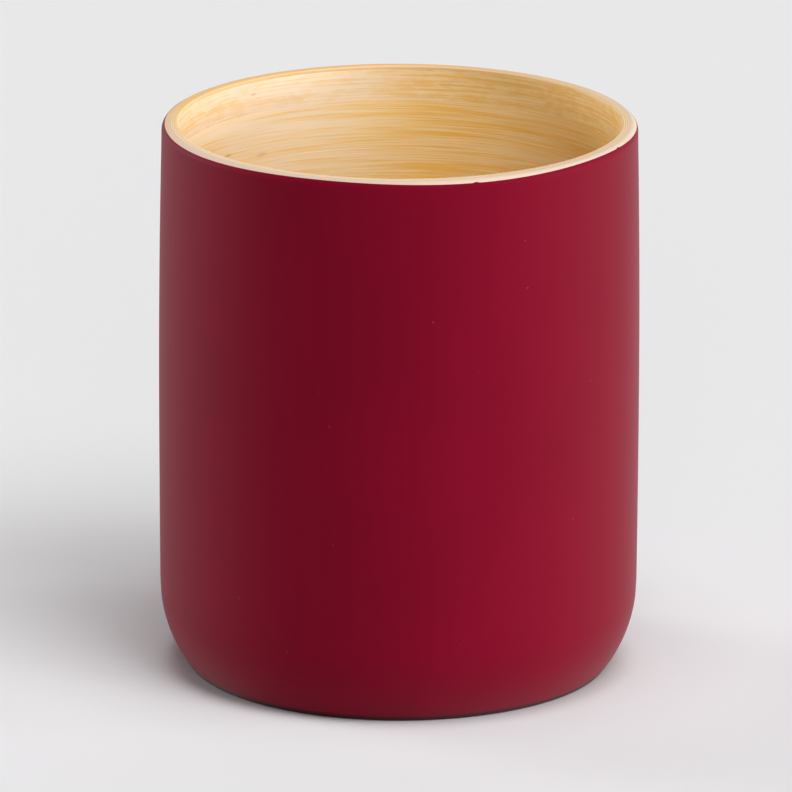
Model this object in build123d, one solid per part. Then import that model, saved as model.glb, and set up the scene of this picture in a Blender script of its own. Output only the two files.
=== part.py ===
from build123d import *
import os
from math import cos, radians, sin

# A straight tumbler wound from bamboo strip. Hoops of strip stand on a bevelled corner ring, which holds a
# floor coiled from strip on edge over a thin base disc. An outer sleeve and a rounded foot ring, both
# lacquered, close round them, and a rim ring caps the two plies of the wall.
# Millimetres, +Z up, with the origin on the table under the middle of the cup.

# Driving dimensions
OUTER_DIAMETER = 86.0    # over the lacquered sleeve
HEIGHT = 100.0           # table to rim
OUTER_PLY = 1.5          # thickness of the lacquered sleeve
INNER_PLY = 1.3          # thickness of the bare hoops inside it
FOOT_ROUND = 15.7        # outside radius where the wall turns under
TOE_ANGLE = 39.0         # degrees by which the round falls short of lying flat, where it is cut off
STAND_WIDTH = 6.0        # bare ring that the cup stands on
STAND_PROUD = 0.4        # how far that ring reaches below the lacquer
STAND_BEVEL = 1.2        # how far it stands in from the lacquer
UNDERSIDE_RECESS = 0.6   # hollow of the underside within the standing ring
BASE_THICKNESS = 1.5     # disc that closes the underside
FLOOR_TOP = 5.6          # table to the inside floor
STRIP_WIDTH = 27.0       # width of the hoops, of which the top one is trimmed to fit under the rim ring
RIM_DEPTH = 6.5          # how far the rim ring reaches down inside the cup
LIP_EDGE = 0.2           # upright part of the rim's bare outside edge
LIP_BEVEL = 0.6          # bevel above it
COIL_STRIP = 3.3         # thickness of the coiled strip
COIL_GAP = 0.45          # open glue line between the coil's turns
CORE_DIAMETER = 20.0     # plug that the coil starts round

# Radii and heights that follow from them
outer_radius = OUTER_DIAMETER / 2
ply_radius = outer_radius - OUTER_PLY
bore_radius = ply_radius - INNER_PLY
toe_radius = outer_radius - FOOT_ROUND * (1 - sin(radians(TOE_ANGLE)))
stand_radius = toe_radius - STAND_BEVEL
coil_radius = stand_radius - STAND_WIDTH
core_radius = CORE_DIAMETER / 2
wall_foot = STAND_PROUD + FOOT_ROUND * cos(radians(TOE_ANGLE))
hoops_top = HEIGHT - RIM_DEPTH
sleeve_top = HEIGHT - LIP_EDGE - LIP_BEVEL
base_top = UNDERSIDE_RECESS + BASE_THICKNESS


def turned(*outline):
    """The solid that a half section sweeps round the cup's axis, from lines and arcs in radius and height."""
    return revolve(Plane.XZ * make_face(outline), axis=Axis.Z)


def ring(*corners):
    """A ring whose half section has straight sides between corners given as (radius, height)."""
    return turned(Polyline(*corners, close=True))


def hoop(inner, outer, low, high):
    return ring((inner, low), (outer, low), (outer, high), (inner, high))


def slab(outline, low, high):
    return extrude(Pos(0, 0, low) * outline, high - low)


def save(node, solid):
    solid.label = node
    export_step(solid, f"parts/{node}.step")


def foot_ring():
    """Lacquered foot: a round outside, closing on the corner ring's cone inside."""
    heel = (ply_radius, wall_foot)
    foot_round = CenterArc((outer_radius - FOOT_ROUND, wall_foot), FOOT_ROUND, TOE_ANGLE - 90, 90 - TOE_ANGLE)
    return turned(foot_round, Line(foot_round @ 1, heel), Line(heel, foot_round @ 0))


def corner_ring():
    """Bare corner: a cone as thick as the hoops above it, on the bevelled ring that the cup stands on."""
    lean = (ply_radius - toe_radius) / (wall_foot - STAND_PROUD)
    floor_radius = bore_radius - lean * (wall_foot - FLOOR_TOP)
    standing = [(coil_radius, 0), (stand_radius, 0), (toe_radius, STAND_PROUD)]
    cone = [(ply_radius, wall_foot), (bore_radius, wall_foot), (floor_radius, FLOOR_TOP)]
    return ring(*standing, *cone, (coil_radius, FLOOR_TOP))


def rim_ring():
    """Bare rim: its flange caps the sleeve, and its skirt lines the wall down to the hoops."""
    skirt = [(bore_radius, hoops_top), (ply_radius, hoops_top), (ply_radius, sleeve_top)]
    edge = [(outer_radius, sleeve_top), (outer_radius, sleeve_top + LIP_EDGE)]
    top = [(outer_radius - LIP_BEVEL, HEIGHT), (bore_radius, HEIGHT)]
    return ring(*skirt, *edge, *top)


def floor_coil():
    """A strip coiled on edge, in half circles on two centres by turns, with its ends pared to fit."""
    pitch = COIL_STRIP + COIL_GAP
    room = coil_radius - core_radius - COIL_GAP
    thinnest_end = COIL_STRIP / 6
    half_turns = 2 + int(2 * (room - 2 * thinnest_end) / pitch)
    end = (room - (half_turns / 2 - 1) * pitch) / 2
    start = core_radius + end - COIL_STRIP

    def half_circles(first_radius):
        arcs = []
        for k in range(half_turns):
            centre = pitch / 4 if k % 2 else -pitch / 4
            radius = first_radius + (k + 0.5) * pitch / 2
            arcs.append(CenterArc((centre, 0), radius, 180 * (k % 2), 180))
        return arcs

    inside = half_circles(start)
    outside = half_circles(start + COIL_STRIP)
    first_end = Line(inside[0] @ 0, outside[0] @ 0)
    last_end = Line(inside[-1] @ 1, outside[-1] @ 1)
    band = make_face([*inside, first_end, *outside, last_end])
    gaps = [(a @ t - b @ t).length for a, b in zip(outside, inside[2:]) for t in (0, 0.25, 0.5, 0.75)]
    print(f"floor coil: {half_turns / 2:.1f} turns, ends pared to {end:.2f} mm, least gap {min(gaps):.2f} mm")
    return slab(band & (Circle(coil_radius) - Circle(core_radius)), base_top, FLOOR_TOP)


os.makedirs("parts", exist_ok=True)

save("outer_sleeve", hoop(ply_radius, outer_radius, wall_foot, sleeve_top))
save("foot_ring", foot_ring())
save("rim_ring", rim_ring())
save("corner_ring", corner_ring())

courses = max(1, round((hoops_top - wall_foot) / STRIP_WIDTH))
seams = [*(wall_foot + i * STRIP_WIDTH for i in range(courses)), hoops_top]
for i in range(courses):
    save(f"inner_hoop_{i + 1}", hoop(bore_radius, ply_radius, seams[i], seams[i + 1]))

save("base_disc", slab(Circle(coil_radius), UNDERSIDE_RECESS, base_top))
save("floor_coil", floor_coil())
save("floor_core", slab(Circle(core_radius), base_top, FLOOR_TOP))
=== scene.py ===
# %% [markdown]
# A bamboo cup: strip wound into a straight wall, lacquered crimson outside, bare and varnished inside.
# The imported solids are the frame. They give the main sizes, and each one is replaced here by a finer piece.

# %% The frame
from math import asin, atan2, cos, exp, hypot, pi, radians, sin, sqrt, tan

import bmesh
import bpy
from mathutils import Euler, Matrix, Vector


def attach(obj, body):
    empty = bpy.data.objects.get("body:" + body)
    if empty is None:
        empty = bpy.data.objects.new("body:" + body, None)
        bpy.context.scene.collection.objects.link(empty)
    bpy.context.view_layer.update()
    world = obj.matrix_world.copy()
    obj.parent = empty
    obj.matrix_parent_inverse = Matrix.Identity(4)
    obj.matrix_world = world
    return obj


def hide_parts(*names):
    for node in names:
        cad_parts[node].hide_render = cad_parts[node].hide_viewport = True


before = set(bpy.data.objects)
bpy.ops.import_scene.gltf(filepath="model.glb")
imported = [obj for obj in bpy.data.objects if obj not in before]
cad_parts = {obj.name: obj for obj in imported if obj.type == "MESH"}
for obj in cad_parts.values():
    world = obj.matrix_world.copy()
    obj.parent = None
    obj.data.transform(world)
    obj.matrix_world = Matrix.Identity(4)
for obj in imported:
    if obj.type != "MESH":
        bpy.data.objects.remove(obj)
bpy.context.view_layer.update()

MM = 1000.0  # millimetres in a metre


# %% [markdown]
# Sizes are read from the solids, so that this file follows them. All are in millimetres, and a mesh is
# turned into metres only when it is made. A round solid's inner and outer radius are its least and greatest
# distance from the axis.


# %% Sizes
def measure(node):
    """Least and greatest radius, and lowest and highest point, of a CAD node."""
    points = [v.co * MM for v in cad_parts[node].data.vertices]
    reach = [hypot(p.x, p.y) for p in points]
    heights = [p.z for p in points]
    return min(reach), max(reach), min(heights), max(heights)


PLY, OUTSIDE, WALL_FOOT, _ = measure("outer_sleeve")
BORE, _, SKIRT_LOW, RIM_TOP = measure("rim_ring")
TOE, _, TOE_HEIGHT, _ = measure("foot_ring")
_, COIL_HOLE, BASE_LOW, BASE_TOP = measure("base_disc")
_, CORE, _, FLOOR = measure("floor_core")
print(f"outside {OUTSIDE:.2f}, ply {PLY:.2f}, bore {BORE:.2f}, rim {RIM_TOP:.2f}, floor {FLOOR:.2f} mm")

# %% [markdown]
# A finish or a rule is easier to read as a sum than as a picture of boxes and wires. `Val` wraps one socket
# and takes part in sums like a number; each operation adds a Math node.


# %% Sockets in sums
class Val:
    """An output socket that can be added, multiplied and so on."""

    def __init__(self, graph, socket):
        self.graph, self.socket = graph, socket

    def __add__(self, other):
        return self.graph.math("ADD", self, other)

    def __sub__(self, other):
        return self.graph.math("SUBTRACT", self, other)

    def __rsub__(self, other):
        return self.graph.math("SUBTRACT", other, self)

    def __mul__(self, other):
        return self.graph.math("MULTIPLY", self, other)

    def __truediv__(self, other):
        return self.graph.math("DIVIDE", self, other)

    def __pow__(self, other):
        return self.graph.math("POWER", self, other)

    __radd__, __rmul__ = __add__, __mul__

    def other(self, name):
        """Another output of the same node."""
        return Val(self.graph, self.socket.node.outputs[name])


# %% [markdown]
# `Graph` holds the tree that nodes go into. `Graph.node` makes any node: its type, its settings, and then
# the values or links of its sockets. The nodes that come up often have short names of their own, such as a
# ramp between two limits or a blend of two colours.


# %% Graphs
class Graph:
    """A node tree, emptied, that nodes are added to."""

    def __init__(self, tree):
        self.tree = tree
        tree.nodes.clear()

    def node(self, kind, settings=None, sockets=None, out=0):
        made = self.tree.nodes.new(kind)
        for key, value in (settings or {}).items():
            setattr(made, key, value)
        for key, value in (sockets or {}).items():
            if isinstance(value, Val):
                self.tree.links.new(value.socket, made.inputs[key])
            else:
                made.inputs[key].default_value = value
        return Val(self, made.outputs[out]) if made.outputs else made

    def math(self, operation, *values):
        return self.node("ShaderNodeMath", {"operation": operation}, dict(enumerate(values)))

    def ramp(self, value, low, high):
        """0 where the value is at low or beyond it, 1 at high or beyond it, smooth between."""
        limits = {"Value": value, "From Min": low, "From Max": high}
        return self.node("ShaderNodeMapRange", {"interpolation_type": "SMOOTHSTEP"}, limits)

    def blend(self, share, first, second, mode="MIX"):
        settings = {"data_type": "RGBA", "blend_type": mode}
        return self.node("ShaderNodeMix", settings, {0: share, 6: first, 7: second}, out=2)

    def vector(self, x, y, z):
        return self.node("ShaderNodeCombineXYZ", {}, {0: x, 1: y, 2: z})

    def noise(self, vector, detail=2.0):
        return self.node("ShaderNodeTexNoise", {}, {"Vector": vector, "Scale": 1.0, "Detail": detail})

    def axes(self, place):
        """The x, y and z of a place."""
        parts = self.node("ShaderNodeSeparateXYZ", {}, {0: place})
        return [parts.other(axis) for axis in "XYZ"]


# %% [markdown]
# Every finish starts from the point's place on the cup, in millimetres. The pieces stand at the origin, so
# Object coordinates are the cup's own. It ends in one Principled shader, with a bump for the fine relief.


# %% Starting and closing a finish
def start_finish(name):
    """A new material, its graph, and the point's x, y and z in millimetres."""
    material = bpy.data.materials.new(name)
    material.use_nodes = True
    g = Graph(material.node_tree)
    x, y, z = (axis * MM for axis in g.axes(g.node("ShaderNodeTexCoord", out="Object")))
    return material, g, x, y, z


def close_finish(g, height, depth, sockets):
    """The surface, with a height in 0 to 1 that stands for a relief of that many millimetres."""
    relief = g.node("ShaderNodeBump", {}, {"Height": height, "Distance": depth / MM, "Strength": 1.0})
    surface = g.node("ShaderNodeBsdfPrincipled", {}, {**sockets, "Normal": relief})
    g.node("ShaderNodeOutputMaterial", {}, {"Surface": surface})


# %% [markdown]
# The lacquer is a matte crimson, sprayed and rubbed down. Its colour is nearly even, with slow clouds, a
# fine tooth that takes the shine off, and a few specks of dust under the coat. Along the toe, just above the
# table, it is darkened as painted shade. These could be painted on a picture, but noise and height make them
# at any size and need no file. A little sheen stands for the bloom that a rubbed coat has where it is seen at
# a low angle.

# %% Crimson lacquer
CRIMSON_DEEP, CRIMSON_PALE = (0.158, 0.0008, 0.0125, 1), (0.170, 0.0009, 0.0136, 1)
# The second colour on the next line is painted shade, for the dark band along the toe.
DUST, PAINTED_TOE_SHADOW = (0.40, 0.18, 0.17, 1), (0.045, 0.006, 0.008, 1)
CLOUD_WIDTH, CLOUD_HEIGHT, TOOTH_SIZE, DUST_SPACING = 22.0, 30.0, 0.35, 3.4
CLOUD_LIMITS, SPECK_EDGE, SPECK_CHANCE, DUST_PART = (0.3, 0.7), (0.05, 0.02), (0.72, 0.9), 0.35
TOE_SHADOW_HEIGHTS, TOE_SHADOW_WANDER = (1.15, 0.70), 0.25
TOOTH_HEIGHT, DUST_HEIGHT, LACQUER_RELIEF = 0.8, 0.4, 0.008
MATTE, MATTE_CLOUDS = 0.52, 0.06


def crimson_lacquer():
    material, g, x, y, z = start_finish("crimson_lacquer")

    def cells(width, height):
        return g.vector(x / width, y / width, z / height)

    clouds = g.noise(cells(CLOUD_WIDTH, CLOUD_HEIGHT), detail=3.0)
    tooth = g.noise(cells(TOOTH_SIZE, TOOTH_SIZE))
    speck_cells = cells(DUST_SPACING, DUST_SPACING)
    speck = g.node("ShaderNodeTexVoronoi", {}, {"Vector": speck_cells, "Scale": 1.0})
    chance = g.node("ShaderNodeTexWhiteNoise", {}, {"Vector": speck.other("Position")}, out="Value")
    dust = g.ramp(speck, *SPECK_EDGE) * g.ramp(chance, *SPECK_CHANCE)
    colour = g.blend(g.ramp(clouds, *CLOUD_LIMITS), CRIMSON_DEEP, CRIMSON_PALE)
    colour = g.blend(dust * DUST_PART, colour, DUST)
    # Painted shade: darker in about the lowest millimetre, where the coat turns under to the table.
    painted_toe_shadow = g.ramp(z + TOE_SHADOW_WANDER * (clouds - 0.5), *TOE_SHADOW_HEIGHTS)
    colour = g.blend(painted_toe_shadow, colour, PAINTED_TOE_SHADOW)
    close_finish(g, tooth * TOOTH_HEIGHT + dust * DUST_HEIGHT, LACQUER_RELIEF, {
        "Base Color": colour,
        "Roughness": MATTE + MATTE_CLOUDS * clouds,
        "Specular IOR Level": 0.02,
        "Sheen Weight": 0.112,
        "Sheen Roughness": 0.45,
    })
    return material


lacquer = crimson_lacquer()
print(f"{lacquer.name}: {len(lacquer.node_tree.nodes)} nodes")

# %% [markdown]
# The inside is tinted by its place from left to right: paler a little left of the middle as painted light,
# where the light falls, greyer at the far left as painted shade, where the light is strongest, and warmer to
# the right as painted shade. A picture could hold that, but three tints laid over the grain, each between two
# limits from left to right, are enough.

# %% Painted light and shade on the inside
# Colours of painted light and shade: a pale tint where the light falls, a grey one and a warm one for shade
PAINTED_LIGHT_CREAM, PAINTED_SHADE_FAR_LEFT, PAINTED_RIGHT_SHADE_TINT = (0.89, 0.77, 0.61, 1), (0.86, 0.80, 0.78, 1), (1.0, 0.94, 0.58, 1)
# Where a tint comes in, as x in mm: none of it at the first number and all of it at the second
PAINTED_LIGHT_RIGHT_END, PAINTED_LIGHT_LEFT_END, PAINTED_SHADE_FAR_LEFT_SPAN = (8.0, -12.0), (-44.0, -24.0), (-12.0, -32.0)
PAINTED_LIGHT_GRAIN, PAINTED_RIGHT_SHADE_PART, PAINTED_RIGHT_SHADE_RUN = 0.5, 0.55, 30.0


def painted_light_drift(g, x, colour, share, painted_light_part, painted_shade_left_part, painted_right_shade_from):
    """A grain's colour, with painted light and shade by its place from left to right. The share is how pale
    the grain is there.
    """
    # Painted light: paler a little left of the middle, more so on pale grain
    painted_light_side = g.ramp(x, *PAINTED_LIGHT_RIGHT_END) * g.ramp(x, *PAINTED_LIGHT_LEFT_END)
    colour = g.blend(painted_light_side * (painted_light_part + PAINTED_LIGHT_GRAIN * share), colour, PAINTED_LIGHT_CREAM)
    # Painted shade at the far left, where the light is strongest
    colour = g.blend(painted_shade_left_part * g.ramp(x, *PAINTED_SHADE_FAR_LEFT_SPAN), colour, PAINTED_SHADE_FAR_LEFT, "MULTIPLY")
    # Painted shade, deeper and warmer, towards the right
    return g.blend(PAINTED_RIGHT_SHADE_PART * g.ramp(x, painted_right_shade_from, painted_right_shade_from + PAINTED_RIGHT_SHADE_RUN), colour, PAINTED_RIGHT_SHADE_TINT, "MULTIPLY")


# %% [markdown]
# Bamboo is a bundle of fibres along the strip. On the wall, the rim and the floor alike, the strips run
# round the cup, so the grain is noise that changes slowly round the axis and fast across it. Across the
# grain is up the wall or out along the rim, and radius plus height follows both. Three widths of streak make
# bands, streaks and fibres. Scars are soft dark spots, where a leaf grew from the culm.

# %% Varnished bamboo
PALE, DEEP, SCAR = (0.93, 0.75, 0.51, 1), (0.91, 0.57, 0.13, 1), (0.42, 0.23, 0.07, 1)
BROAD_PART, MIDDLE_PART, FIBRE_PART, TONE_LIMITS = 0.9, 0.75, 1.5, (0.22, 0.78)
BLOTCH_LENGTH, BLOTCH_HEIGHT = 2.6, 1.1
SATIN, SATIN_STREAKS, BARE_ROUGHNESS = 0.50, 0.14, 0.4
VARNISH, VARNISH_ROUGHNESS = 0.6, 0.35
SCAR_FLATNESS, SCAR_FRAY, SCAR_HEART = 6.0, 1.3, 0.1
FIBRE_HEIGHT, STREAK_HEIGHT, GRAIN_RELIEF = 0.6, 0.4, 0.02


# The three arguments after gloss set the painted light and shade from left to right.
def bamboo(name, pale, deep, bands=1.0, mottle=0.0, gloss=0.4, painted_light_part=0.25, painted_shade_left_part=0.2, painted_right_shade_from=-26.0,
           bare_end=None, scars=()):
    """Varnished bamboo between two tones. bare_end gives the colour of a dry cut, and where that lies."""
    material, g, x, y, z = start_finish(name)
    r = (x * x + y * y) ** 0.5
    across = r + z

    def streaks(length, width, shift, detail=2.0):
        return g.noise(g.vector(x / length + shift, y / length, across / width), detail)

    broad = streaks(length=70, width=2.6, shift=3.1, detail=1.0)
    middle = streaks(length=34, width=0.44, shift=17.0)
    fibre = streaks(length=14, width=0.18, shift=41.0)
    banding = BROAD_PART * (broad - 0.5) + MIDDLE_PART * (middle - 0.5)
    tone = 0.5 + bands * banding + FIBRE_PART * (fibre - 0.5)
    if mottle:
        blotch = g.noise(g.vector(x / BLOTCH_LENGTH, y / BLOTCH_LENGTH, z / BLOTCH_HEIGHT), detail=3.0)
        tone = tone + mottle * (blotch - 0.5)
    share = g.ramp(tone, *TONE_LIMITS)
    # Painted light and shade laid over the grain by its place from left to right
    colour = painted_light_drift(g, x, g.blend(share, deep, pale), share, painted_light_part, painted_shade_left_part, painted_right_shade_from)
    varnish = VARNISH
    rough = SATIN - SATIN_STREAKS * middle
    if bare_end:
        end_colour, on_end = bare_end(g, x, y, z, r, broad, fibre)
        colour = g.blend(on_end, colour, end_colour)
        varnish = VARNISH - VARNISH * on_end
        rough = rough + BARE_ROUGHNESS * on_end
    for scar_x, scar_y, scar_z, wide, strength in scars:
        right, back, up = x - scar_x, y - scar_y, z - scar_z
        reach = (right * right + back * back + SCAR_FLATNESS * up * up) ** 0.5
        spot = g.ramp(reach + SCAR_FRAY * (fibre - 0.5), wide, SCAR_HEART * wide) * strength
        colour = g.blend(spot, colour, SCAR)
    close_finish(g, fibre * FIBRE_HEIGHT + middle * STREAK_HEIGHT, GRAIN_RELIEF, {
        "Base Color": colour,
        "Roughness": rough,
        "Specular IOR Level": gloss,
        "Coat Weight": varnish,
        "Coat Roughness": VARNISH_ROUGHNESS,
    })
    print(f"{name}: {len(material.node_tree.nodes)} nodes")
    return material


# %% [markdown]
# Every piece ends the same way. `finished` welds and shades its mesh and puts it in the scene, and
# `stand_for` hides the solid it takes the place of and makes the piece ride on the one body there is.

# %% A piece in the scene
WELD = 2e-7  # metres
SHARP = radians(38)


def finished(name, made, material):
    """A piece from a bmesh: welded, facing outwards, shaded smooth up to the sharp angle, in one material."""
    bmesh.ops.remove_doubles(made, verts=made.verts, dist=WELD)
    bmesh.ops.recalc_face_normals(made, faces=made.faces)
    mesh = bpy.data.meshes.new(name)
    made.to_mesh(mesh)
    made.free()
    mesh.shade_smooth()
    mesh.set_sharp_from_angle(angle=SHARP)
    mesh.materials.clear()
    mesh.materials.append(material)
    piece = bpy.data.objects.new(name, mesh)
    bpy.context.scene.collection.objects.link(piece)
    triangles = sum(len(p.vertices) - 2 for p in mesh.polygons)
    print(f"{name}: {len(mesh.vertices)} points, {triangles} triangles")
    return piece


def stand_for(piece, node):
    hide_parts(node)
    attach(piece, "root")


# %% [markdown]
# Most of the cup is turned: a half section swept round the axis. `rounded` eases a section's corners, with a
# point just past each round so that the flat beside it shades flat. `turned` places the section at each
# angle, and takes a function of the angle, because one edge here wanders. A Screw modifier could sweep a
# section too, but only one that stays the same all round.


# %% Turning a section
def rounded(corners, steps=6, guard=0.08):
    """Section points from corners (radius, height, round), each eased by a round of that many millimetres."""
    points = []
    for i, (r, z, ease) in enumerate(corners):
        here = Vector((r, z))
        if not ease:
            points.append((r, z))
            continue
        back = (Vector(corners[i - 1][:2]) - here).normalized()
        on = (Vector(corners[(i + 1) % len(corners)][:2]) - here).normalized()
        half = back.angle(on) / 2
        run = ease / tan(half)
        middle = here + (back + on).normalized() * ease / sin(half)
        first, last = here + back * run - middle, here + on * run - middle
        points.append(tuple(here + back * (run + guard)))
        for k in range(steps + 1):
            points.append(tuple(middle + first.slerp(last, k / steps).normalized() * ease))
        points.append(tuple(here + on * (run + guard)))
    return points


def turned(name, section, material, around=540):
    """A closed solid from a section in millimetres, given as points or as a function of the angle."""
    at = section if callable(section) else lambda angle: section
    made = bmesh.new()
    rings = []
    for i in range(around):
        angle = 2 * pi * i / around
        places = [(r * cos(angle) / MM, r * sin(angle) / MM, z / MM) for r, z in at(angle)]
        rings.append([made.verts.new(place) for place in places])
    count = len(rings[0])
    for i in range(around):
        a, b = rings[i], rings[(i + 1) % around]
        for k in range(count):
            made.faces.new((a[k], b[k], b[(k + 1) % count], a[(k + 1) % count]))
    return finished(name, made, material)


# %% [markdown]
# The wall is not quite a cylinder: the strip is wound by hand over a former, and the cup is a shade narrower
# at the rim and at the foot than in the middle. A parabola on each side of the middle carries that. Below,
# one round turns the wall under. The photograph shows it a little fuller at the toe than the solid is, so
# its radius is given here.

# %% The wall's swell
RIM_NARROW, FOOT_NARROW = 0.65, 0.15
MIDDLE = RIM_TOP / 2


def swell(z):
    """How much narrower than the solid the wall is at this height, as a negative length."""
    if z > MIDDLE:
        return -RIM_NARROW * ((z - MIDDLE) / (RIM_TOP - MIDDLE)) ** 2
    return -FOOT_NARROW * ((MIDDLE - max(z, WALL_FOOT)) / (MIDDLE - WALL_FOOT)) ** 2


FOOT_START, FOOT_ROUND = 15.1, 23.8


def outside(z):
    """Radius of the lacquered outside at this height."""
    under = max(0.0, FOOT_START - z)
    return OUTSIDE + swell(z) - FOOT_ROUND + sqrt(FOOT_ROUND ** 2 - under ** 2)


LIP = 1.5  # the rim's outer round
LIP_BASE = RIM_TOP - LIP
RIM_OUTSIDE = OUTSIDE + swell(LIP_BASE)
RIM_INSIDE = BORE + swell(RIM_TOP)
print(f"outside at the rim {RIM_OUTSIDE:.2f} mm, wall there {RIM_OUTSIDE - RIM_INSIDE:.2f} mm")

# %% [markdown]
# The lacquer ends on the rim's outer round in a line that wanders by a fifth of a millimetre, as a masked
# edge does, with four small nicks. Three waves give the wander. The line could be a change of colour in one
# finish, but the coat has a thickness, so here it is a real step between two pieces.

# %% The lacquered sleeve
COAT, COAT_UNDER = 0.03, 0.06  # how far the coat stands proud of the rim's round, and reaches into it
SEAT_DROP = 0.4  # how far below the round the rim's flange sits on the sleeve
SEAT = LIP_BASE - SEAT_DROP
EDGE_DROP = 0.45
STEEPEST = 0.98  # the most that the edge's height may be, as a share of the coat's round
WALL_STEPS, LIP_STEPS = 28, 10
# Waves round the rim, height in mm, and turn in degrees
WAVES = [(1, 0.08, 180), (4, 0.06, 217), (5, 0.09, 168)]
# Place in degrees, rise and width in mm
NICKS = [(18.5, 0.15, 0.40), (66.5, 0.11, 0.5), (151.0, 0.12, 0.5), (-118.0, 0.12, 0.4)]


def paint_edge(angle):
    """Height of the lacquer's edge. Waves and nicks go by the turn from the front towards +X."""
    turn = atan2(cos(angle), -sin(angle))
    height = RIM_TOP - EDGE_DROP
    for waves, size, phase in WAVES:
        height += size * sin(waves * turn + radians(phase))
    for where, rise, width in NICKS:
        gap = (turn - radians(where)) * OUTSIDE / width
        height += rise * exp(-gap * gap)
    return height


def on_lip(radius, angles):
    """Section points on a round about the lip's centre."""
    return [(RIM_OUTSIDE - LIP + radius * cos(t), LIP_BASE + radius * sin(t)) for t in angles]


def sleeve_section(angle):
    over, under = LIP + COAT, LIP - COAT_UNDER
    top = asin(min(STEEPEST, (paint_edge(angle) - LIP_BASE) / over))
    wall = [WALL_FOOT + (LIP_BASE - WALL_FOOT) * k / WALL_STEPS for k in range(WALL_STEPS)]
    rise = [top * k / LIP_STEPS for k in range(LIP_STEPS + 1)]
    points = [(outside(z), z) for z in wall]
    points += on_lip(over, rise) + on_lip(under, reversed(rise[::2]))
    return points + [(RIM_OUTSIDE - LIP + under, SEAT), (PLY, SEAT), (PLY, WALL_FOOT)]


sleeve = turned("sleeve", sleeve_section, lacquer, around=720)
stand_for(sleeve, "outer_sleeve")

# %% [markdown]
# The foot follows the same outside down to the toe, just above the table, and the coat turns under there to
# the ring that the cup stands on. The foot's joint with the sleeve is under the coat, so they meet on one
# line with one slope.

# %% The lacquered foot
STAND_BEVEL, TOE_LIFT, TOE_EASE, COAT_LIFT = 1.2, 0.08, 0.2, 0.02
FOOT_STEPS = 40
STAND = TOE - STAND_BEVEL  # outer radius of the standing ring
levels = [WALL_FOOT + (TOE_LIFT - WALL_FOOT) * k / FOOT_STEPS for k in range(FOOT_STEPS)]
foot_round = [(outside(z), z, 0) for z in levels]
toe = (outside(TOE_LIFT), TOE_LIFT, TOE_EASE)
foot_section = rounded([*foot_round, toe, (STAND, COAT_LIFT, 0), (PLY, WALL_FOOT, 0)])
foot = turned("foot", foot_section, lacquer)
stand_for(foot, "foot_ring")
print(f"the foot meets the table at radius {toe[0]:.2f} mm")

# %% [markdown]
# The rim's top is a dry cut, where the varnish stops. Its inner ply shows fine growth lines and its outer
# ply is an even cream. Towards the back both are tan, with a thin edge of its own colour inside. Towards the
# right the end is greyed a little as painted shade. The growth lines are a sine of the depth into the wall,
# and the broad streaks push them about so that they wander. A mask, from the height inside and the depth
# outside, says where the cut lies.

# %% The rim's bare end
END_PALE, END_DEEP = (0.80, 0.66, 0.49, 1), (0.66, 0.41, 0.17, 1)
END_OUTER, END_BACK, END_EDGE = (0.64, 0.49, 0.385, 1), (0.70, 0.43, 0.18, 1), (0.82, 0.54, 0.27, 1)
# The next colour is painted shade, laid over the end towards the right.
PAINTED_CUT_SHADE = (0.91, 0.90, 0.89, 1)
GROWTH_PITCH, GROWTH_WANDER, GROWTH_LIMITS = 0.38, 3.0, (-0.9, 0.7)
# Limits in mm: depths into the wall, places from left to right, places towards the back, and heights
OUTER_PLY, THIN_EDGE, CUT_OUTSIDE = (1.1, 1.4), (0.08, 0.30), (0.6, 0.9)
EDGE_RIGHT, CUT_SHADE_SPAN = (-22.0, -2.0), (0.0, 30.0)
BACK_TAN, BACK_LOW = (0.0, 38.0), (20.0, 40.0)
CUT_INSIDE = (RIM_TOP - 0.30, RIM_TOP - 0.12)
BACK_TURN, BACK_PART, BACK_DIP = 0.5, 0.8, 0.4


def rim_end(g, x, y, z, r, broad, fibre):
    """Colour of the rim's bare end, and a share that is 1 on it."""
    depth = r - RIM_INSIDE
    towards_back = y - BACK_TURN * x
    growth = g.math("SINE", depth * (2 * pi / GROWTH_PITCH) + GROWTH_WANDER * broad)
    lines = g.ramp(growth + FIBRE_PART * (fibre - 0.5), *GROWTH_LIMITS)
    colour = g.blend(g.ramp(depth, *OUTER_PLY), g.blend(lines, END_DEEP, END_PALE), END_OUTER)
    edge = g.blend(g.ramp(x, *EDGE_RIGHT), END_DEEP, END_EDGE)
    back = g.blend(g.ramp(depth, *THIN_EDGE), edge, END_BACK)
    colour = g.blend(BACK_PART * g.ramp(towards_back, *BACK_TAN), colour, back)
    # Painted shade: the end greyer towards the right, where the light is strongest
    colour = g.blend(g.ramp(x, *CUT_SHADE_SPAN), colour, PAINTED_CUT_SHADE, "MULTIPLY")
    inside_edge = g.ramp(z + BACK_DIP * g.ramp(towards_back, *BACK_LOW), *CUT_INSIDE)
    outside_edge = g.ramp(depth, *CUT_OUTSIDE)
    return colour, g.math("MAXIMUM", inside_edge, outside_edge)


# %% [markdown]
# The rim is bare bamboo with both edges eased by hand. The skirt inside is cut from another strip than the
# wall below, with shorter, blotchier grain and two small scars.

# %% The rim
RIM_DEEP = (0.88, 0.58, 0.21, 1)
RIM_EASE = 0.28
# Place, width in mm, and strength
rim_scars = [(-26.7, 29.8, RIM_TOP - 2.9, 1.2, 0.45), (5.4, 39.6, RIM_TOP - 0.8, 0.9, 0.4)]
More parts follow.
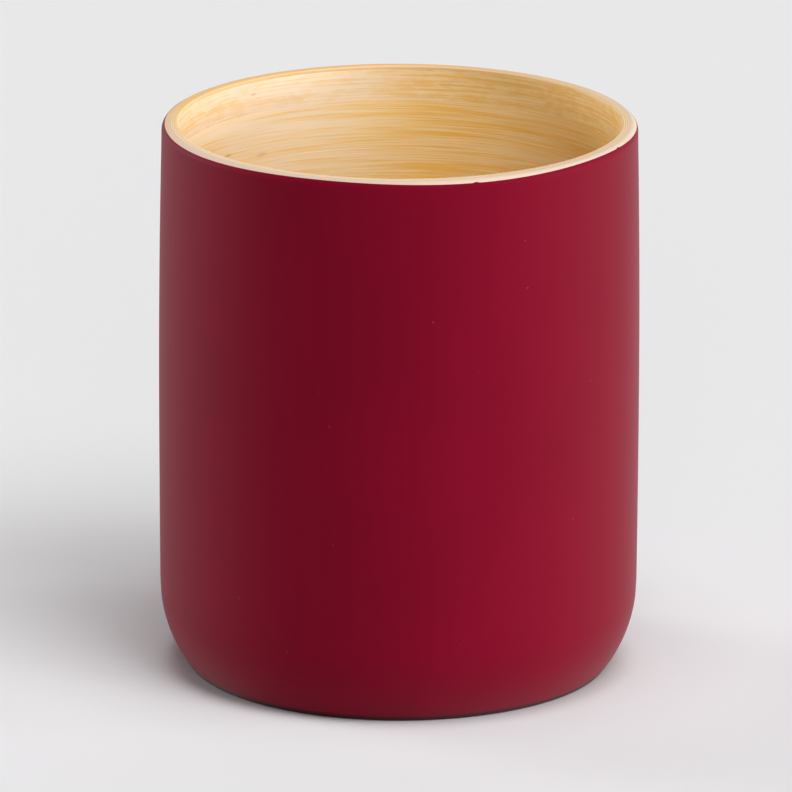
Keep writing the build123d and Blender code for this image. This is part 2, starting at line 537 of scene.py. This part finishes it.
# The rim's skirt takes more painted light and much more painted shade at the left, where the light falls
# hardest, and its warm painted shade starts further right.
rim_bamboo = bamboo("rim_bamboo", PALE, RIM_DEEP, bands=0.7, mottle=0.9, gloss=0.02, painted_light_part=0.4, painted_shade_left_part=0.8,
                    painted_right_shade_from=-12.0, bare_end=rim_end, scars=rim_scars)
rim_section = rounded([
    (RIM_INSIDE, RIM_TOP, RIM_EASE), (BORE + swell(SKIRT_LOW), SKIRT_LOW, 0), (PLY, SKIRT_LOW, 0),
    (PLY, SEAT, 0), (RIM_OUTSIDE, SEAT, 0), (RIM_OUTSIDE, RIM_TOP, LIP)], steps=10)
rim = turned("rim", rim_section, rim_bamboo, around=720)
stand_for(rim, "rim_ring")

# %% [markdown]
# The wall's strips and the floor's coil are made by node trees, because in both one section repeats. Each
# tree takes named sizes in metres, starts from a bar with eased edges, and ends in plain geometry with a
# material.


# %% What the node trees share
def new_tree(name, sizes, counts=()):
    """A geometry tree with these inputs, its graph, and a dictionary of them."""
    tree = bpy.data.node_groups.new(name, "GeometryNodeTree")
    tree.is_modifier = True
    kinds = {size: "NodeSocketFloat" for size in sizes}
    kinds.update({count: "NodeSocketInt" for count in counts})
    kinds["Finish"] = "NodeSocketMaterial"
    for title, kind in kinds.items():
        tree.interface.new_socket(name=title, in_out="INPUT", socket_type=kind)
    tree.interface.new_socket(name="Geometry", in_out="OUTPUT", socket_type="NodeSocketGeometry")
    g = Graph(tree)
    entry = g.node("NodeGroupInput")
    return tree, g, {title: entry.other(title) for title in kinds}


def eased_bar(g, width, height, ease, steps):
    """A rectangle whose corners are rounded in this many steps."""
    sides = {"Width": width, "Height": height}
    bar = g.node("GeometryNodeCurvePrimitiveQuadrilateral", {"mode": "RECTANGLE"}, sides)
    rounds = {"Curve": bar, "Radius": ease, "Limit Radius": True, "Count": steps}
    return g.node("GeometryNodeFilletCurve", {"mode": "POLY"}, rounds)


def close_tree(g, geometry, finish):
    plain = g.node("GeometryNodeRealizeInstances", {}, {"Geometry": geometry})
    dressed = g.node("GeometryNodeSetMaterial", {}, {"Geometry": plain, "Material": finish})
    g.node("NodeGroupOutput", {}, {"Geometry": dressed})


# %% [markdown]
# `grown` sets a tree's inputs on an empty mesh, keeps what the tree makes as a plain mesh, and throws the
# empty one away. The tree could stay on the piece as a modifier, but a plain mesh can be welded and shaded
# like the turned ones.


# %% A piece from a node tree
def grown(name, tree, values, material):
    """The plain mesh that a node tree makes from these named inputs, as a finished piece."""
    seed_mesh = bpy.data.meshes.new(name + "_seed")
    seed = bpy.data.objects.new(name + "_seed", seed_mesh)
    bpy.context.scene.collection.objects.link(seed)
    grower = seed.modifiers.new(tree.name, "NODES")
    grower.node_group = tree
    values = {**values, "Finish": material}
    for socket in tree.interface.items_tree:
        if socket.in_out == "INPUT":
            grower[socket.identifier] = values[socket.name]
    mesh = bpy.data.meshes.new_from_object(seed.evaluated_get(bpy.context.evaluated_depsgraph_get()))
    made = bmesh.new()
    made.from_mesh(mesh)
    bpy.data.objects.remove(seed)
    bpy.data.meshes.remove(seed_mesh)
    bpy.data.meshes.remove(mesh)
    return finished(name, made, material)


# %% [markdown]
# Below the rim, the inner ply is narrow strip laid edge to edge. One strip is a ring of rectangular section,
# and the same ring repeats up each hoop, so the tree makes it once and instances it on a line of points. The
# rings are then drawn in towards the rim, as the wall outside them is.


# %% The wound wall's node tree
def wound_wall_tree():
    sizes = ("Radius", "Thickness", "Strip width", "Edge round", "Lowest", "Middle", "Rim", "Narrow at rim")
    tree, g, given = new_tree("wound_wall", sizes, counts=("Courses",))
    width, middle = given["Strip width"], given["Middle"]
    hoop_sizes = {"Resolution": 720, "Radius": given["Radius"]}
    hoop = g.node("GeometryNodeCurvePrimitiveCircle", {"mode": "RADIUS"}, hoop_sizes)
    bar = eased_bar(g, given["Thickness"], width, given["Edge round"], steps=1)
    strip = g.node("GeometryNodeCurveToMesh", {}, {"Curve": hoop, "Profile Curve": bar})
    stack = g.node("GeometryNodeMeshLine", {"mode": "OFFSET"}, {
        "Count": given["Courses"],
        "Start Location": g.vector(0.0, 0.0, given["Lowest"] + width * 0.5),
        "Offset": g.vector(0.0, 0.0, width),
    })
    wall = g.node("GeometryNodeInstanceOnPoints", {}, {"Points": stack, "Instance": strip})
    plain = g.node("GeometryNodeRealizeInstances", {}, {"Geometry": wall})
    x, y, z = g.axes(g.node("GeometryNodeInputPosition"))
    lift = g.math("MAXIMUM", z - middle, 0.0) / (given["Rim"] - middle)
    pull = 1.0 - given["Narrow at rim"] * lift * lift / (x * x + y * y) ** 0.5
    drawn_in = {"Geometry": plain, "Position": g.vector(x * pull, y * pull, z)}
    close_tree(g, g.node("GeometryNodeSetPosition", {}, drawn_in), given["Finish"])
    return tree


wound_wall = wound_wall_tree()
print(f"{wound_wall.name}: {len(wound_wall.nodes)} nodes")

# %% [markdown]
# Three hoops fill the height, each of six strips. The strips are scraped flush, so their edges are eased by
# no more than a hair. The top hoop shows below the rim in the photograph, with two faint scars.

# %% The hoops
COURSES, STRIP_EASE = 6, 0.03
node_scars = [(-31.1, 25.1, RIM_TOP - 13.2, 1.3, 0.45), (-25.1, 31.2, RIM_TOP - 14.5, 1.7, 0.25)]
for i in (1, 2, 3):
    node = f"inner_hoop_{i}"
    inner, outer, low, high = measure(node)
    grain = bamboo(f"hoop_bamboo_{i}", PALE, DEEP, scars=node_scars if i == 3 else ())
    hoop = grown(f"hoop_{i}", wound_wall, {
        "Radius": (inner + outer) / 2 / MM,
        "Thickness": (outer - inner) / MM,
        "Strip width": (high - low) / COURSES / MM,
        "Edge round": STRIP_EASE / MM,
        "Lowest": low / MM,
        "Middle": MIDDLE / MM,
        "Rim": RIM_TOP / MM,
        "Narrow at rim": RIM_NARROW / MM,
        "Courses": COURSES,
    }, grain)
    stand_for(hoop, node)

# %% [markdown]
# The corner ring turns from wall to floor inside, and carries the flat ring that the cup stands on outside.
# It is turned from thicker stock, so its bands are stronger.

# %% The corner ring
CORNER_HOLLOW = 3.0  # round where the wall meets the floor inside
STAND_EASE, WALL_EASE, FLOOR_EASE = 0.15, 0.1, 0.12
corner_bamboo = bamboo("corner_bamboo", PALE, DEEP, bands=1.2)
lean = (PLY - TOE) / (WALL_FOOT - TOE_HEIGHT)
inside_foot = BORE - lean * (WALL_FOOT - FLOOR)
corner_section = rounded([
    (COIL_HOLE, 0, STAND_EASE), (STAND, 0, 0), (PLY, WALL_FOOT, 0),
    (BORE, WALL_FOOT, WALL_EASE), (inside_foot, FLOOR, CORNER_HOLLOW), (COIL_HOLE, FLOOR, FLOOR_EASE),
], steps=8)
corner = turned("corner", corner_section, corner_bamboo)
stand_for(corner, "corner_ring")

# %% [markdown]
# The floor is strip on edge, coiled from a plug out to the corner ring. A spiral curve with a bar for its
# section makes the coil; where it would run into the plug or the ring it is pared, which here is a limit on
# the radius. The glue lines between its turns stay open, as they do in the solid.


# %% The coil's node tree
def coil_tree():
    sizes = ("Core", "Hole", "Strip", "Gap", "Pared end", "Turns", "Bottom", "Top", "Edge round")
    tree, g, given = new_tree("floor_coil", sizes)
    core, hole, strip, gap, end, turns, bottom, top, ease = (given[size] for size in sizes)
    start = core + end - 0.5 * strip
    path = g.node("GeometryNodeCurveSpiral", {}, {
        "Resolution": 160,
        "Rotations": turns,
        "Start Radius": start,
        "End Radius": start + turns * (strip + gap),
        "Height": 0.0,
        "Reverse": False,
    })
    bar = eased_bar(g, strip, top - bottom, ease, steps=4)
    coil = g.node("GeometryNodeCurveToMesh", {}, {"Curve": path, "Profile Curve": bar, "Fill Caps": True})
    x, y, z = g.axes(g.node("GeometryNodeInputPosition"))
    reach = (x * x + y * y) ** 0.5
    pared = g.math("MINIMUM", g.math("MAXIMUM", reach, core), hole) / reach
    raised = g.vector(x * pared, y * pared, z + (bottom + top) * 0.5)
    moved = g.node("GeometryNodeSetPosition", {}, {"Geometry": coil, "Position": raised})
    close_tree(g, moved, given["Finish"])
    return tree


floor_coil = coil_tree()
print(f"{floor_coil.name}: {len(floor_coil.nodes)} nodes")

# %% [markdown]
# With the coil come the plug that it starts round and the disc that closes the underside. The coil's two
# ends are pared alike, so what the turns leave of the room between plug and ring is shared between them.

# %% The floor
GAP, STRIP, TURNS = 0.45, 3.3, 5.5
COIL_EASE, BASE_EASE = 0.25, 0.2
coil_bamboo = bamboo("coil_bamboo", PALE, DEEP, bands=1.2, mottle=0.3)
pared_end = (COIL_HOLE - CORE - GAP - (TURNS - 1) * (STRIP + GAP)) / 2
coil = grown("coil", floor_coil, {
    "Core": CORE / MM,
    "Hole": COIL_HOLE / MM,
    "Strip": STRIP / MM,
    "Gap": GAP / MM,
    "Pared end": pared_end / MM,
    "Turns": TURNS,
    "Bottom": BASE_TOP / MM,
    "Top": FLOOR / MM,
    "Edge round": COIL_EASE / MM,
}, coil_bamboo)
stand_for(coil, "floor_coil")

core_section = rounded([(0, BASE_TOP, 0), (CORE, BASE_TOP, 0), (CORE, FLOOR, COIL_EASE), (0, FLOOR, 0)])
core = turned("core", core_section, coil_bamboo, around=180)
stand_for(core, "floor_core")

base_section = rounded([
    (0, BASE_LOW, 0), (COIL_HOLE, BASE_LOW, BASE_EASE), (COIL_HOLE, BASE_TOP, 0), (0, BASE_TOP, 0)])
base = turned("base", base_section, corner_bamboo, around=360)
stand_for(base, "base_disc")

# %% [markdown]
# The stage is a wide pale floor, and the whole background of the photograph is that floor. It is one plain
# sheet of paper, diffuse, so that the shadow on it is the only thing to see.

# %% The stage
STAGE_REACH = 4.0  # metres from the middle to each side
PAPER = (0.695, 0.693, 0.703, 1)
stage_corners = [(-1, -1), (1, -1), (1, 1), (-1, 1)]
floor_mesh = bpy.data.meshes.new("stage_floor")
floor_mesh.from_pydata([(STAGE_REACH * x, STAGE_REACH * y, 0) for x, y in stage_corners], [], [(0, 1, 2, 3)])
stage_floor = bpy.data.objects.new("stage_floor", floor_mesh)
bpy.context.scene.collection.objects.link(stage_floor)
paper = bpy.data.materials.new("stage_paper")
paper.use_nodes = True
g = Graph(paper.node_tree)
sheet = g.node("ShaderNodeBsdfDiffuse", {}, {"Color": PAPER})
g.node("ShaderNodeOutputMaterial", {}, {"Surface": sheet})
floor_mesh.materials.append(paper)
print(f"stage: {2 * STAGE_REACH:.0f} m of paper each way")

# %% [markdown]
# The shadow falls to the left and back, so the key light stands high at the front right. The lacquer is
# brightest at its right edge, which asks for a broad light low on that side. Others from above, the front,
# the left and behind fill the rest. Area lights could do this, but a sun with a wide angle is as soft and
# just as strong everywhere, so only its direction has to be found. The room adds a faint, even light.

# %% Lights
LIGHTS = {  # height and turn from the front towards the right, spread, all in degrees, and strength
    "key": (49, 38, 32, 1.42),
    "top": (81, 15, 34, 1.42),
    "low_right": (2, 90, 16, 3.12),
    "side_right": (15, 65, 26, 1.00),
    "low_left": (5, 242, 24, 2.75),
    "front": (18, 2, 28, 0.66),
    "back": (35, 177, 40, 0.30),
}
ROOM_COLOUR, ROOM_STRENGTH = (0.97, 0.985, 1.0, 1), 0.045
for name, (height, turn, spread, strength) in LIGHTS.items():
    lamp = bpy.data.lights.new(name, "SUN")
    lamp.energy, lamp.angle = strength, radians(spread)
    light = bpy.data.objects.new(name, lamp)
    bpy.context.scene.collection.objects.link(light)
    level = cos(radians(height))
    towards = Vector((level * sin(radians(turn)), -level * cos(radians(turn)), sin(radians(height))))
    light.rotation_mode = "QUATERNION"
    light.rotation_quaternion = towards.to_track_quat("Z", "Y")

world = bpy.data.worlds.new("studio")
bpy.context.scene.world = world
world.use_nodes = True
g = Graph(world.node_tree)
room = g.node("ShaderNodeBackground", {}, {"Color": ROOM_COLOUR, "Strength": ROOM_STRENGTH})
g.node("ShaderNodeOutputWorld", {}, {"Surface": room})
print("lights:", ", ".join(LIGHTS), "and the room")

# %% [markdown]
# The camera stands where a fit of the cup's outline puts it: about 1.9 m away, looking 16 degrees down
# through a long lens, so the sides hardly converge. The fit gives the focal length in pixels of the
# photograph, and the sensor's width turns it into millimetres.

# %% Camera
PHOTO_PIXELS, FOCAL_PIXELS, SENSOR = 792, 10457.0, 36.0
CAMERA_PLACE = (-0.00054, -1.8, 0.57128)  # metres
LOOK_DOWN, ROLL = 16.1785, 0.18  # degrees
lens = bpy.data.cameras.new("camera")
lens.sensor_width = SENSOR
lens.lens = FOCAL_PIXELS / PHOTO_PIXELS * SENSOR
camera = bpy.data.objects.new("camera", lens)
bpy.context.scene.collection.objects.link(camera)
aim = Euler((radians(90 - LOOK_DOWN), 0, 0)).to_matrix().to_4x4()
camera.matrix_world = Matrix.Translation(CAMERA_PLACE) @ aim @ Matrix.Rotation(radians(ROLL), 4, "Z")
bpy.context.scene.camera = camera
bpy.context.scene.view_settings.view_transform = "Standard"
print(f"camera: {lens.lens:.0f} mm lens on a {SENSOR:.0f} mm sensor")
